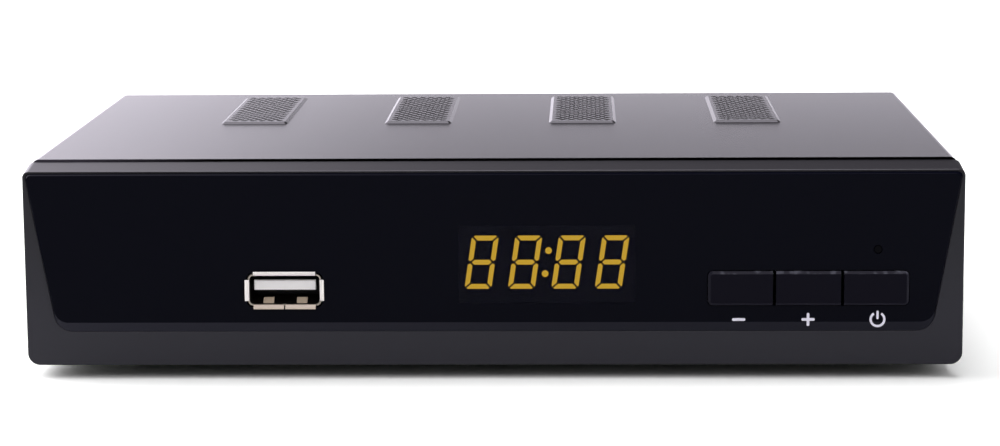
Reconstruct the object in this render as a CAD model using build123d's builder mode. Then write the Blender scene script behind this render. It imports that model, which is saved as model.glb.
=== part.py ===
from build123d import *
import math
import os

os.makedirs("parts", exist_ok=True)

# Satellite TV receiver. Millimetres, +Z up, the front faces -Y, +X is right seen from the front.
# The origin is on the desk under the middle of the whole receiver, sockets included.

# ---------------------------------------------------------------- driving dimensions
# Case
panel_width = 168.0  # front panel, side to side
panel_face_height = 35.3  # front panel face, bottom edge to top edge
panel_lift = 2.4  # underside of the front panel above the desk
panel_top_radius = 1.25
panel_bottom_radius = 2.2
panel_edge_radius = 0.3  # rounding of the face's rim
plate_thickness = 2.6  # front wall of the bezel
bevel_depth = 4.0  # how far the bevelled lip runs back from the face
bevel_rise = 1.2  # how much the lip climbs above the face
bevel_side_inset = 0.4  # how much the lip narrows at each side
bevel_under_rise = 0.6  # how much the underside climbs
case_depth = 105.0  # bezel face to the rear lip of the cover
cover_side_inset = 1.1  # cover side inside the front panel's side
cover_step = 0.45  # cover top above the rear edge of the bevel
cover_bend_radius = 1.2
sheet = 0.8  # steel sheet of cover and chassis
fit_gap = 0.15  # between nested sheet metal and mouldings
seam_gap = 0.35  # cover edge to the bevel
rim_depth = 5.0  # bezel rim that plugs into the cover
rim_wall = 1.6
side_flange = 9.0  # upturned sides of the chassis
rear_lip = 7.0  # cover lip folded down over the rear panel
hook_width = 8.0
hook_depth = 1.4
hook_drop = 0.75
hook_spacing = 50.0
hook_clearance = 0.3

# Feet
foot_radius = 5.5
foot_side_inset = 16.0  # foot centre from the panel's side
foot_front_inset = 22.0  # foot centre behind the face
foot_rear_inset = 13.0  # foot centre before the rear lip
foot_edge_radius = 0.8

# Lens and its printed mask
lens_thickness = 1.9
lens_proud = 0.7  # lens face in front of the bezel face
mask_thickness = 0.1
mask_gap = 0.02  # between the lens and its mask
lens_top_inset = 0.35  # lens edge below the panel's top edge
lens_side_inset = 0.4  # lens edge inside the panel's side, at the top
lens_lower_inset = 4.75  # the same at the knee above the lower corner
lens_knee_height = 10.8  # where the slanted end meets the lower corner
lens_bottom_height = 6.3  # lower edge above the panel's bottom edge
lens_roll_height = 1.7  # rolled lower edge, seen from the front
lens_roll_side = 0.3  # the same at the sides and the top
lens_corner_radius = 3.4
lens_top_corner_radius = 0.9
lens_seat_gap = 0.05
lens_edge_radius = 0.2

# Vent patches in the cover
vent_count = 4
vent_pitch = 32.3
vent_width = 13.2
vent_rear_margin = 9.0  # rear end of the patches before the rear lip
vent_length = 42.0
vent_rise = 0.4  # the patches stand above the top
vent_slope = 0.6  # run of the sloping border
vent_margin = 0.3  # solid metal between the border and the holes
vent_hole_radius = 0.63
vent_hole_pitch = 1.75
side_slot_count = 9
side_slot_width = 1.8
side_slot_height = 13.0
side_slot_pitch = 4.6
side_slot_height_above_desk = 20.0
side_slot_front = 52.0  # middle of the slot group, behind the face
floor_slot_rows = 5
floor_slot_columns = 9
floor_slot_width = 2.0
floor_slot_length = 12.0
floor_slot_pitch_x = 5.0
floor_slot_pitch_y = 15.0

# Push buttons
key_count = 3
key_strip_side_inset = 27.68  # middle of the strip from the panel's right side
key_height_above_edge = 14.14  # middle of the strip above the panel's bottom edge
key_width = 11.51
key_gap = 0.58
key_height = 6.15
key_proud = 0.7  # key face in front of the lens face
key_bevel = 0.45
key_corner_radius = 0.9
key_clearance = 0.15
key_travel = 0.5
key_flange = 1.2  # thickness, and reach above and below the key
key_flange_gap = 0.1
stem_width = 4.0
stem_end_depth = 6.4  # key stem meets the switch plunger, behind the face
mark_height_above_edge = 8.45
mark_thickness = 0.08
mark_pitch = 12.34
mark_bar = 2.38
mark_stroke = 0.5
mark_corner_share = 0.45  # corner radius as a share of the stroke
power_radius = 1.22
power_stroke = 0.42
power_gap_angle = 64.0
power_bar_rise = 0.8  # middle of the bar above the ring's middle
power_bar_length = 1.55

# Tact switches
switch_size = 6.0
switch_body = 3.5
switch_floor = 0.3
plunger_radius = 1.75
plunger_clearance = 0.06
plunger_rest_gap = 0.7  # plunger end above the floor of its hole

# Display
display_x = 9.75  # right of the panel's middle
display_height_above_edge = 18.45
display_width = 31.6
display_height = 14.2
display_front_depth = 2.0
display_body_depth = 8.0
display_clearance = 0.2
digit_count = 4
digit_pitch = 7.79
digit_width = 4.84
digit_height = 9.65
digit_stroke = 0.86
digit_gap = 0.23
digit_clip = 0.3
digit_slant = 8.5  # degrees
segment_thickness = 0.2
colon_radius = 0.6
colon_height = 2.1  # dots above and below the middle
pin_width = 0.5
pin_pitch = 2.54
display_pins_per_row = 6
display_pin_inset = 1.0  # pin rows from the display's upper and lower edges

# Standby lamp, light pipe and remote control receiver
lamp_side_inset = 15.4  # from the panel's right side
lamp_height_above_edge = 21.1
pipe_radius = 0.75
pipe_clearance = 0.05
pipe_collar = 0.5
pipe_collar_length = 1.6
pipe_edge = 0.12
lamp_radius = 1.5
lamp_dome = 1.2  # rounding of the lamp's tip
lamp_rim = 0.25  # the rim at the lamp's foot stands out this much
lamp_rim_length = 1.0
lamp_gap = 0.15  # lamp tip to the light pipe
ir_x = -18.0
ir_height_above_edge = 18.45
ir_width = 6.0
ir_height = 7.0
ir_depth = 4.6
ir_dome_radius = 2.4
ir_window_radius = 2.8
ir_dome_gap = 0.3

# Front USB socket
usb_x = -37.19
usb_height_above_edge = 13.95
usb_width = 13.1
usb_height = 5.7
usb_wall = 0.3
usb_corner_radius = 0.9
usb_lip_reach = 0.55  # how far the flared lips stand out sideways
usb_lip_length = 0.6  # and forward of the lens
usb_lip_width = 11.15
usb_lip_height = 3.8
usb_lip_split = 0.25
usb_tongue_width = 11.1
usb_tongue_height = 1.84
usb_tongue_rise = 0.75
usb_tongue_front = 0.9  # behind the lens face
usb_finger_width = 1.9
usb_finger_x = 3.0
usb_finger_front = 0.7
usb_finger_length = 5.0
usb_finger_rise = 1.05
usb_crest_start = 1.2  # flat crest of a finger, behind the finger's front end
usb_crest_end = 2.1
usb_contact_front = 1.6  # behind the tongue's front
usb_contact_width = 1.0
usb_contact_pitches = (-3.5, -1.0, 1.0, 3.5)
usb_contact_thickness = 0.15
usb_opening_gap = 0.35
usb_base_length = 3.0

# Boards
board_thickness = 1.6
front_board_depth = 12.0  # its front face behind the panel's face
front_board_left = -60.0
front_board_side_gap = 2.15  # right edge to the bezel's rim
front_board_low = 4.6  # above the panel's bottom edge
front_board_top_gap = 4.1  # upper edge below the top of the face
front_boss_radius = 2.5
front_boss_side_inset = 3.5  # from the board's ends
front_boss_edge_inset = 4.5  # from the board's lower and upper edges
front_boss_middle_x = -12.0
pilot_radius = 0.9
front_screw_head_radius = 2.0
front_screw_head = 1.2
standoff_height = 4.0
standoff_radius = 3.0
standoff_hole_radius = 1.25
board_side_gap = 5.75  # main board to the inside of the case
main_board_front = 17.0  # behind the panel's face
main_board_rear_gap = 1.2
board_hole_radius = 1.6
board_hole_inset = 6.0
board_screw_head_radius = 2.75
board_screw_head = 1.8
insulator_sheet = 0.25
insulator_inset = 2.0
insulator_hole_gap = 0.4
link_x = -10.0
link_width = 26.0
link_height = 5.0
link_pins = 10
link_pin_rise = 2.5

# Chips and small parts on the main board. A place is a share of the board's half width, from the
# middle, and a share of its length, from its front edge.
chip_size = 21.0
chip_height = 1.4
chip_place = (0.026, 0.4)
pad_size = 18.0
pad_thickness = 0.5
chip_edge = 0.12  # broken upper edges of the moulded chips
sink_size = 26.0
sink_base = 1.6
sink_height = 9.0
sink_fins = 7
sink_fin_thickness = 1.2
memory_size = (13.0, 9.0, 1.2)
memory_places = ((-0.316, 0.329), (-0.316, 0.494))
flash_size = (8.0, 5.2, 1.8)
flash_place = (0.342, 0.306)
regulator_size = (6.5, 6.1, 2.3)
regulator_places = ((-0.816, 0.447), (-0.605, 0.447), (0.395, 0.517))
inductor_size = 7.0
inductor_height = 4.2
inductor_corner = 1.2
inductor_places = ((-0.816, 0.306), (-0.605, 0.306), (0.395, 0.635))
capacitor_radius = 4.0
capacitor_height = 11.5
capacitor_groove = 0.5
capacitor_groove_height = 2.0
capacitor_places = (
    (-0.895, 0.611), (-0.737, 0.611), (-0.579, 0.165), (0.579, 0.165), (0.737, 0.165),
)
crystal_size = (11.0, 4.6, 3.6)
crystal_corner = 2.07
crystal_place = (0.289, 0.165)
magnetics_size = (12.7, 7.0, 5.4)
magnetics_gap = 4.0  # to the network socket behind it

# Rear sockets: they share the rear edge of the main board between its standoffs, with equal gaps
socket_count = 5

# LNB input and tuner
lnb_height = 7.4  # axis above the main board
lnb_thread_radius = 4.7625
lnb_relief = 0.16  # the barrel is this much thinner where the nut sits
lnb_reach = 10.5  # tip beyond the rear panel
lnb_tip_chamfer = 0.4
lnb_bore_radius = 3.7
lnb_insulator_recess = 1.2
lnb_core_radius = 1.1
lnb_entry_radius = 0.65
lnb_flange_radius = 6.2
lnb_hole_clearance = 0.2
lnb_barrel_gap = 0.05  # barrel to washer and nut
lnb_washer_radius = 7.2
lnb_washer = 0.8
lnb_nut_across = 12.7
lnb_nut = 2.8
lnb_nut_corner = 0.6  # broken outer corners
lnb_inner_length = 2.0
tuner_width = 26.0
tuner_length = 34.0
tuner_height = 13.0
tuner_wall = 0.4
tuner_gap = 2.0  # tuner can to the rear panel
tuner_lid_skirt = 3.0

# HDMI socket
hdmi_width = 15.0
hdmi_height = 5.7
hdmi_wall = 0.35
hdmi_corner = 1.3
hdmi_length = 12.0
hdmi_reach = 0.8
hdmi_tongue_width = 11.6
hdmi_tongue_height = 1.3
hdmi_opening_gap = 0.4
hdmi_base = 4.0
hdmi_tongue_edge = 0.2
hdmi_upper_contacts = 10
hdmi_lower_contacts = 9
hdmi_contact_pitch = 1.0
hdmi_contact_width = 0.45
hdmi_contact_thickness = 0.12
hdmi_contact_end_gap = 0.5  # contact ends behind the tongue's tip

# Network socket
lan_width = 16.0
lan_height = 13.4
lan_length = 18.0
lan_wall = 0.3
lan_reach = 0.9
lan_mouth_width = 11.8
lan_mouth_height = 7.0
lan_mouth_low = 3.0
lan_latch_width = 6.2
lan_latch_height = 1.7
lan_mouth_depth = 12.0
lan_contact_count = 8
lan_contact_pitch = 1.02
lan_contact_radius = 0.2
lan_contact_run = 8.1  # length of a spring wire's slope
lan_contact_rise = 1.5
lan_contact_foot = 3.0
lan_opening_gap = 0.3

# Audio and video sockets
av_pitch = 14.0
av_height = 8.0
av_shell_radius = 4.15
av_shell_wall = 0.45
av_shell_foot = 0.2  # the shell is this much thinner inside its coloured ring
av_reach = 9.5
av_flange_radius = 5.3
av_flange = 1.6
av_flange_edge = 0.4
av_shell_edge = 0.15
av_core_recess = 0.6
av_bore_radius = 1.87
av_contact_wall = 0.2
av_groove_gap = 0.05
av_block_length = 10.0
av_block_height = 13.6
av_hole_clearance = 0.15

# DC inlet
dc_width = 9.0
dc_height = 11.0
dc_length = 14.0
dc_axis = 6.5
dc_bore_radius = 3.0
dc_bore_depth = 9.0
dc_pin_radius = 1.0
dc_pin_length = 8.0
dc_reach = 0.7
dc_mouth_chamfer = 0.23
dc_corner = 1.0
dc_pin_dome = 0.5
dc_opening_gap = 0.2

# Cover screws
screw_shank_radius = 1.45
screw_head_radius = 2.9
screw_head = 1.2
screw_length = 5.0
screw_hole_radius = 1.65
screw_cross_width = 0.9
screw_cross_length = 3.2
screw_cross_depth = 0.8
rear_screw_side_inset = 5.7  # from the side of the cover
side_screw_rear_inset = 25.0  # before the rear lip
side_screw_height = 5.0  # above the chassis underside

# ---------------------------------------------------------------- worked-out places
front_reach = lens_proud + max(key_proud, usb_lip_length)
rear_reach = lnb_reach - sheet - fit_gap
face_y = (front_reach - case_depth - rear_reach) / 2
lens_y = face_y - lens_proud
case_back = face_y + case_depth
cover_width = panel_width - 2 * cover_side_inset
panel_low = panel_lift
panel_high = panel_lift + panel_face_height
bevel_high = panel_high + bevel_rise
cover_top = bevel_high + cover_step
chassis_low = panel_low + bevel_under_rise
floor_top = chassis_low + sheet
board_low = floor_top + standoff_height
board_top = board_low + board_thickness
cover_front = face_y + bevel_depth + seam_gap
inner_half = cover_width / 2 - sheet - fit_gap
inner_top = cover_top - sheet - fit_gap
rear_out = case_back - sheet - fit_gap
rear_in = rear_out - sheet
main_front = face_y + main_board_front
main_back = rear_in - main_board_rear_gap
main_board_width = 2 * (inner_half - board_side_gap)
front_board_y = face_y + front_board_depth
front_board_back = front_board_y + board_thickness
front_board_right = inner_half - rim_wall - front_board_side_gap
front_board_high = panel_face_height - front_board_top_gap
front_boss_places = (
    (front_board_left + front_boss_side_inset, front_board_low + front_boss_edge_inset),
    (front_boss_middle_x, front_board_high - front_boss_edge_inset),
    (front_board_right - front_boss_side_inset, front_board_high - front_boss_edge_inset),
)
plate_back = face_y + plate_thickness
key_y = lens_y - key_proud
key_strip_x = panel_width / 2 - key_strip_side_inset
key_pitch = key_width + key_gap
strip_width = key_count * key_width + (key_count - 1) * key_gap
key_z = panel_low + key_height_above_edge
switch_front = front_board_y - switch_body
hole_floor = front_board_y - switch_floor
display_z = panel_low + display_height_above_edge
display_front = face_y + display_front_depth
usb_z = panel_low + usb_height_above_edge
lamp_x = panel_width / 2 - lamp_side_inset
lamp_z = panel_low + lamp_height_above_edge
ir_z = panel_low + ir_height_above_edge
lens_seat = lens_thickness - lens_proud
mask_front = face_y + lens_seat + mask_gap
socket_span = main_board_width - 2 * (board_hole_inset + standoff_radius)
av_width = 3 * av_pitch
tuner_span = tuner_width + 2 * (tuner_wall + pipe_clearance)
socket_widths = dc_width + av_width + lan_width + hdmi_width + tuner_span
socket_gap = (socket_span - socket_widths) / (socket_count + 1)
dc_x = socket_gap - socket_span / 2 + dc_width / 2
av_x = dc_x + dc_width / 2 + socket_gap + av_width / 2
lan_x = av_x + av_width / 2 + socket_gap + lan_width / 2
hdmi_x = lan_x + lan_width / 2 + socket_gap + hdmi_width / 2
lnb_x = hdmi_x + hdmi_width / 2 + socket_gap + tuner_span / 2
LOW_FRONT = (Align.CENTER, Align.MIN, Align.MIN)
LOW_BACK = (Align.CENTER, Align.MAX, Align.MIN)
MID_FRONT = (Align.CENTER, Align.MIN, Align.CENTER)
MID_BACK = (Align.CENTER, Align.MAX, Align.CENTER)
ON_BASE = (Align.CENTER, Align.CENTER, Align.MIN)


def front_plane(y):
    """A sketch plane that faces the viewer: sketch x is +X, sketch y is +Z. Negative amounts go back."""
    return Plane(origin=(0, y, 0), x_dir=(1, 0, 0), z_dir=(0, -1, 0))


def save(piece, node):
    piece.part.label = node
    export_step(piece.part, f"parts/{node}.step")


def key_x(index):
    return key_strip_x + (index - (key_count - 1) / 2) * key_pitch


def on_board(place):
    """x and y of a place on the main board."""
    across, back = place
    return (across * main_board_width / 2, main_front + back * (main_back - main_front))


def slab(places, size, z_low):
    """Upright blocks of one size, centred on places given as x and y."""
    for x, y in places:
        with Locations((x, y, z_low)):
            Box(*size, align=ON_BASE)


def back_rod(x, z, y_from, y_to, radius, mode=Mode.ADD):
    """A round bar along Y."""
    with BuildSketch(front_plane(y_from)) as section:
        with Locations((x, z)):
            Circle(radius)
    extrude(section.sketch, amount=y_from - y_to, mode=mode)


def panel_outline(y, half_width, low, high, low_radius, high_radius):
    """Rounded outline of the front panel at one depth."""
    with BuildSketch(front_plane(y)) as outline:
        with Locations((0, (low + high) / 2)):
            Rectangle(2 * half_width, high - low)
        fillet(outline.vertices().group_by(Axis.Y)[-1], radius=high_radius)
        fillet(outline.vertices().group_by(Axis.Y)[0], radius=low_radius)
    return outline.sketch


def lens_outline(y, side, rise, grow=0.0):
    """Lens outline: wide at the top, slanted ends, rounded lower corners."""
    top = panel_high - lens_top_inset - side + grow
    bottom = panel_low + lens_bottom_height + rise - grow
    knee = panel_low + lens_knee_height
    wide = panel_width / 2 - lens_side_inset - side + grow
    narrow = panel_width / 2 - lens_lower_inset - side + grow
    slope = (wide - narrow) / (top - knee)
    foot = narrow - slope * (knee - bottom)
    with BuildSketch(front_plane(y)) as outline:
        with BuildLine():
            Polyline((-wide, top), (wide, top), (foot, bottom), (-foot, bottom), close=True)
        make_face()
        fillet(outline.vertices().group_by(Axis.Y)[-1], radius=lens_top_corner_radius + grow)
        fillet(outline.vertices().group_by(Axis.Y)[0], radius=lens_corner_radius - rise / 2)
    return outline.sketch


def front_openings(y_from, y_to):
    """Cuts the socket and key openings through the lens, its mask or the bezel."""
    with BuildSketch(front_plane(y_from)) as openings:
        with Locations((key_strip_x, key_z)):
            RectangleRounded(
                strip_width + 2 * key_clearance,
                key_height + 2 * key_clearance,
                key_corner_radius + key_clearance,
            )
        with Locations((usb_x, usb_z)):
            RectangleRounded(
                usb_width + 2 * usb_opening_gap,
                usb_height + 2 * usb_opening_gap,
                usb_corner_radius + usb_opening_gap,
            )
        with Locations((lamp_x, lamp_z)):
            Circle(pipe_radius + pipe_clearance)
    extrude(openings.sketch, amount=y_from - y_to, mode=Mode.SUBTRACT)


# ---------------------------------------------------------------- front panel
def make_front_bezel():
    """Moulded panel: lens recess, bevelled lip, rim that plugs into the cover, bosses and hooks."""
    rim_low = floor_top + fit_gap
    with BuildPart() as bezel:
        face = panel_outline(
            face_y, panel_width / 2, panel_low, panel_high, panel_bottom_radius, panel_top_radius
        )
        lip = panel_outline(
            face_y + bevel_depth,
            panel_width / 2 - bevel_side_inset,
            chassis_low,
            bevel_high,
            panel_bottom_radius,
            panel_top_radius,
        )
        loft([face, lip], ruled=True)
        fillet(bezel.faces().sort_by(Axis.Y)[0].edges(), radius=panel_edge_radius)
        with BuildSketch(front_plane(face_y + bevel_depth)):
            with Locations((0, (rim_low + inner_top) / 2)):
                RectangleRounded(2 * inner_half, inner_top - rim_low, cover_bend_radius)
        extrude(amount=-rim_depth)
        with Locations((0, plate_back, (rim_low + inner_top) / 2)):
            Box(
                2 * (inner_half - rim_wall),
                bevel_depth + rim_depth,
                inner_top - rim_low - 2 * rim_wall,
                align=MID_FRONT,
                mode=Mode.SUBTRACT,
            )
        recess = lens_outline(face_y, 0, 0, lens_seat_gap)
        extrude(recess, amount=face_y - mask_front - mask_thickness, mode=Mode.SUBTRACT)
        front_openings(face_y, plate_back)
        with Locations((display_x, face_y, display_z)):
            Box(
                display_width + 2 * display_clearance,
                plate_thickness,
                display_height + 2 * display_clearance,
                align=MID_FRONT,
                mode=Mode.SUBTRACT,
            )
        back_rod(ir_x, ir_z, face_y, plate_back, ir_window_radius, Mode.SUBTRACT)
        for x, height in front_boss_places:
            back_rod(x, panel_low + height, plate_back, front_board_y, front_boss_radius)
            back_rod(
                x, panel_low + height, plate_back + rim_wall, front_board_y, pilot_radius, Mode.SUBTRACT
            )
        for x in (-hook_spacing, 0, hook_spacing):
            with Locations((x, face_y + bevel_depth + rim_depth / 2, rim_low - hook_drop)):
                Box(hook_width, hook_depth, hook_drop + rim_wall, align=ON_BASE)
    save(bezel, "front_bezel")


def make_front_lens():
    """Gloss black lens: flat face, rolled lower edge, openings for keys, socket and lamp."""
    with BuildPart() as lens:
        rim = lens_outline(face_y, 0, 0)
        loft([lens_outline(lens_y, lens_roll_side, lens_roll_height), rim], ruled=True)
        extrude(rim, amount=-lens_seat)
        fillet(lens.faces().sort_by(Axis.Y)[0].edges(), radius=lens_edge_radius)
        front_openings(lens_y, face_y + lens_seat)
    save(lens, "front_lens")


def make_lens_mask():
    """Black ink behind the lens, clear where the display and the remote eye look out."""
    with BuildPart() as mask:
        extrude(lens_outline(mask_front, 0, 0), amount=-mask_thickness)
        front_openings(mask_front, mask_front + mask_thickness)
        with Locations((display_x, mask_front, display_z)):
            Box(display_width, mask_thickness, display_height, align=MID_FRONT, mode=Mode.SUBTRACT)
        back_rod(ir_x, ir_z, mask_front, mask_front + mask_thickness, ir_dome_radius, Mode.SUBTRACT)
    save(mask, "lens_mask")


def make_front_marks():
    """Printed minus, plus and power symbols under the keys."""
    mark_z = panel_low + mark_height_above_edge
    minus_x = key_strip_x - mark_pitch
    power_x = key_strip_x + mark_pitch
    with BuildPart() as marks:
        with BuildSketch(front_plane(lens_y)):
            with Locations((minus_x, mark_z), (key_strip_x, mark_z)):
                RectangleRounded(mark_bar, mark_stroke, mark_stroke * mark_corner_share)
            with Locations((key_strip_x, mark_z)):
                RectangleRounded(mark_stroke, mark_bar, mark_stroke * mark_corner_share)
            with Locations((power_x, mark_z)):
                Circle(power_radius + power_stroke / 2)
                Circle(power_radius - power_stroke / 2, mode=Mode.SUBTRACT)
            with BuildLine():
                side = 2 * power_radius * math.tan(math.radians(power_gap_angle / 2))
                Polyline(
                    (power_x, mark_z),
                    (power_x - side, mark_z + 2 * power_radius),
                    (power_x + side, mark_z + 2 * power_radius),
                    close=True,
                )
            make_face(mode=Mode.SUBTRACT)
            with Locations((power_x, mark_z + power_bar_rise)):
                RectangleRounded(power_stroke, power_bar_length, power_stroke * mark_corner_share)
        extrude(amount=mark_thickness)
    save(marks, "front_marks")


# ---------------------------------------------------------------- push buttons
def make_button(index, node):
    """Key cap with its retaining flange and its stem; the outer ends of the strip are rounded."""
    x = key_x(index)
    with BuildPart() as key:
        with BuildSketch(front_plane(key_y)):
            with Locations((key_strip_x, key_z)):
                RectangleRounded(strip_width, key_height, key_corner_radius)
        extrude(amount=key_y - plate_back - key_flange_gap)
        front_edges = key.faces().sort_by(Axis.Y)[0].edges()
        chamfer(front_edges, length=key_bevel)
        with Locations((x, key_y, key_z)):
            Box(
                key_width,
                plate_back + key_flange_gap - key_y,
                key_height,
                align=MID_FRONT,
                mode=Mode.INTERSECT,
            )
        with Locations((x, plate_back + key_flange_gap, key_z)):
            Box(key_width, key_flange, key_height + 2 * key_flange, align=MID_FRONT)
            stem_length = face_y + stem_end_depth - plate_back - key_flange_gap
            Box(stem_width, stem_length, stem_width, align=MID_FRONT)
    save(key, node)


def make_plunger(index, node):
    """Round plunger of a tact switch, carried by its key's stem."""
    end = hole_floor - plunger_rest_gap
    with BuildPart() as plunger:
        back_rod(key_x(index), key_z, face_y + stem_end_depth, end, plunger_radius)
    save(plunger, node)


def make_switch_bodies():
    with BuildPart() as bodies:
        for index in range(key_count):
            with Locations((key_x(index), switch_front, key_z)):
                Box(switch_size, switch_body, switch_size, align=MID_FRONT)
            back_rod(
                key_x(index), key_z, switch_front, hole_floor, plunger_radius + plunger_clearance,
                Mode.SUBTRACT,
            )
    save(bodies, "switch_bodies")


# ---------------------------------------------------------------- display, lamp and remote eye
def digit_segments():
    """The seven segments of one digit as corner lists, from the digit's lower left corner."""
    w, h, s, g, c = digit_width, digit_height, digit_stroke, digit_gap, digit_clip
    m = h / 2
    top = [(c + g, h), (w - c - g, h), (w - c / 2 - g, h - c / 2), (w - s - g, h - s), (s + g, h - s),
           (c / 2 + g, h - c / 2)]
    upper = [(w, h - c - g), (w, m + s / 4 + g), (w - s / 2, m + g), (w - s, m + s / 2 + g),
             (w - s, h - s - g), (w - c / 2, h - c / 2 - g)]
    middle = [(s / 2 + g, m), (s + g, m + s / 2), (w - s - g, m + s / 2), (w - s / 2 - g, m),
              (w - s - g, m - s / 2), (s + g, m - s / 2)]
    bottom = [(u, h - v) for u, v in top]
    lower = [(u, h - v) for u, v in upper]
    upper_left = [(w - u, v) for u, v in upper]
    lower_left = [(w - u, v) for u, v in lower]
    return [top, upper, middle, bottom, lower, upper_left, lower_left]


def slanted(u, v):
    """A point of the display's face, leaned over about the display's middle line."""
    return (u + (v - display_z) * math.tan(math.radians(digit_slant)), v)


def make_display_segments():
    """Four lit digits and the colon, as thin pieces on the display's face."""
    first = display_x - (digit_count - 1) / 2 * digit_pitch - digit_width / 2
    low = display_z - digit_height / 2
    with BuildPart() as segments:
        with BuildSketch(front_plane(display_front)):
            for digit in range(digit_count):
                left = first + digit * digit_pitch
                for corners in digit_segments():
                    with BuildLine():
                        Polyline(*[slanted(left + u, low + v) for u, v in corners], close=True)
                    make_face()
            for offset in (-colon_height, colon_height):
                with Locations(slanted(display_x, display_z + offset)):
                    Circle(colon_radius)
        extrude(amount=segment_thickness)
    save(segments, "display_segments")


def make_display_body():
    """Display housing with its two rows of pins soldered in the front board."""
    with BuildPart() as body:
        with Locations((display_x, display_front, display_z)):
            Box(display_width, display_body_depth, display_height, align=MID_FRONT)
        for row in (-1, 1):
            for index in range(display_pins_per_row):
                x = display_x + (index - (display_pins_per_row - 1) / 2) * pin_pitch
                z = display_z + row * (display_height / 2 - display_pin_inset)
                with Locations((x, display_front + display_body_depth, z)):
                    Box(
                        pin_width,
                        front_board_y - display_front - display_body_depth,
                        pin_width,
                        align=MID_FRONT,
                    )
    save(body, "display_body")


def make_light_pipe():
    """Smoky light pipe from the standby lamp to the lens face, with a collar behind the bezel."""
    with BuildPart() as pipe:
        pipe_back = plate_back + pipe_collar_length
        back_rod(lamp_x, lamp_z, lens_y, pipe_back, pipe_radius)
        back_rod(lamp_x, lamp_z, plate_back, pipe_back, pipe_radius + pipe_collar)
        front = pipe.faces().sort_by(Axis.Y)[0].edges()
        chamfer(front, length=pipe_edge)
    save(pipe, "light_pipe")


def make_standby_lamp():
    """Round 3 mm lamp standing on the front board."""
    tip = plate_back + pipe_collar_length + lamp_gap
    rim_start = front_board_y - lamp_rim_length
    with BuildPart() as lamp:
        back_rod(lamp_x, lamp_z, tip, front_board_y, lamp_radius)
        fillet(lamp.faces().sort_by(Axis.Y)[0].edges(), radius=lamp_dome)
        back_rod(lamp_x, lamp_z, rim_start, front_board_y, lamp_radius + lamp_rim)
    save(lamp, "standby_lamp")


def make_ir_receiver():
    """Remote control receiver: block with a domed eye and three legs into the front board."""
    eye_front = plate_back + ir_dome_gap
    with BuildPart() as receiver:
        with Locations((ir_x, eye_front + ir_dome_radius, ir_z)):
            Box(ir_width, ir_depth, ir_height, align=MID_FRONT)
        with Locations((ir_x, eye_front + ir_dome_radius, ir_z)):
            Sphere(ir_dome_radius)
        block_back = eye_front + ir_dome_radius + ir_depth
        for offset in (-pin_pitch, 0, pin_pitch):
            with Locations((ir_x + offset, block_back, ir_z - ir_height / 2 + pin_width)):
                Box(pin_width, front_board_y - block_back, pin_width, align=MID_FRONT)
    save(receiver, "ir_receiver")


# ---------------------------------------------------------------- front USB socket
def lip_profile(plane, centre, sign, tube_half):
    """Section of one flared lip: sketch x is the depth, sketch y the way it flares."""
    inner = tube_half - usb_wall
    outer = tube_half + usb_lip_reach
    tip = lens_y - usb_lip_length
    section = [
        (lens_y, inner),
        (lens_y, tube_half),
        (tip + usb_wall / 2, outer - usb_wall / 2),
        (tip, outer),
        (tip, outer - usb_wall),
        (tip + usb_lip_length / 2, inner + usb_wall / 3),
    ]
    with BuildSketch(plane) as profile:
        with BuildLine():
            Polyline(*[(y, centre + sign * out) for y, out in section], close=True)
        make_face()
    return profile.sketch


def across_plane(x):
    """A sketch plane across the receiver: sketch x is +Y, sketch y is +Z, positive amounts go to +X."""
    return Plane(origin=(x, 0, 0), x_dir=(0, 1, 0), z_dir=(1, 0, 0))


def make_usb_shell():
    """Folded metal shell with flared lips and two pairs of spring fingers."""
    back = front_board_y
    with BuildPart() as shell:
        with BuildSketch(front_plane(lens_y)):
            with Locations((usb_x, usb_z)):
                RectangleRounded(usb_width, usb_height, usb_corner_radius)
                RectangleRounded(
                    usb_width - 2 * usb_wall,
                    usb_height - 2 * usb_wall,
                    usb_corner_radius - usb_wall,
                    mode=Mode.SUBTRACT,
                )
        extrude(amount=lens_y - back)
        left = usb_x - usb_lip_width / 2
        half_piece = (usb_lip_width - usb_lip_split) / 2
        tall_half = usb_height / 2
        extrude(lip_profile(across_plane(left), usb_z, 1, tall_half), amount=usb_lip_width)
        extrude(lip_profile(across_plane(left), usb_z, -1, tall_half), amount=half_piece)
        right_start = across_plane(usb_x + usb_lip_split / 2)
        extrude(lip_profile(right_start, usb_z, -1, tall_half), amount=half_piece)
        lip_top = Plane(origin=(0, 0, usb_z + usb_lip_height / 2), x_dir=(0, 1, 0), z_dir=(0, 0, -1))
        for side in (-1, 1):
            extrude(lip_profile(lip_top, usb_x, side, usb_width / 2), amount=usb_lip_height)
        front = lens_y + usb_finger_front
        crest_start = front + usb_crest_start
        crest_end = front + usb_crest_end
        low = usb_z - usb_height / 2 + usb_wall / 2
        high = low + usb_finger_rise
        for side in (-1, 1):
            with BuildSketch(across_plane(usb_x + side * usb_finger_x - usb_finger_width / 2)):
                with BuildLine():
                    Polyline(
                        (front, low),
                        (crest_start, high),
                        (crest_end, high),
                        (front + usb_finger_length, low),
                        (crest_end, high - usb_wall),
                        (crest_start, high - usb_wall),
                        close=True,
                    )
                make_face()
            extrude(amount=usb_finger_width)
    save(shell, "usb_shell")


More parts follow.
